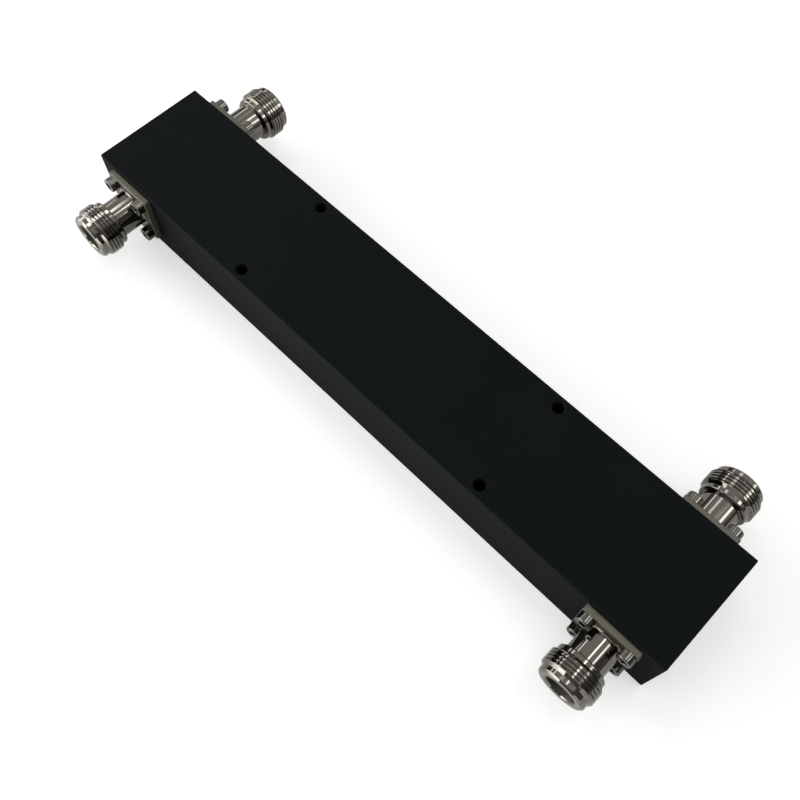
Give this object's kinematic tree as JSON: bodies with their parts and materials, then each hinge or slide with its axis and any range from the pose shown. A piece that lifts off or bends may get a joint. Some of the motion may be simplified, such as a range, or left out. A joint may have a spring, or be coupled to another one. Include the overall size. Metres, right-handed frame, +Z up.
{
  "type": "hybrid coupler",
  "caption": "Long black milled housing with two threaded coaxial sockets on square flanges along each side, mounting holes through its top, and two coupled lines inside.",
  "frame": {"origin": "middle of the lid's underside, at the bottom centre of the box", "axes": "+X along the housing's length, +Y towards the far row of sockets, +Z up through the roof"},
  "size_m": [0.218, 0.0754, 0.024],
  "materials": {
    "black_coating": "matte black powder coat on milled aluminium",
    "black_screws": "blackened countersunk steel screws",
    "silvered_brass": "silver-plated milled brass",
    "ptfe": "machined white PTFE",
    "nickel_plate": "bright nickel-plated turned brass",
    "gold_plate": "gold-plated slotted contact",
    "steel_screws": "stainless cylinder-head screws"
  },
  "bodies": {
    "root": {"housing": "black_coating", "lid": "black_coating", "lid_screws": "black_screws", "upper_line": "silvered_brass", "lower_line": "silvered_brass", "line_spacers": "ptfe", "roof_supports": "ptfe", "floor_supports": "ptfe", "shell_near_left": "nickel_plate", "shell_near_right": "nickel_plate", "shell_far_left": "nickel_plate", "shell_far_right": "nickel_plate", "insulator_near_left": "ptfe", "insulator_near_right": "ptfe", "insulator_far_left": "ptfe", "insulator_far_right": "ptfe", "contact_near_left": "gold_plate", "contact_near_right": "gold_plate", "contact_far_left": "gold_plate", "contact_far_right": "gold_plate", "flange_screws_near_left": "steel_screws", "flange_screws_near_right": "steel_screws", "flange_screws_far_left": "steel_screws", "flange_screws_far_right": "steel_screws"}
  },
  "joints": []
}
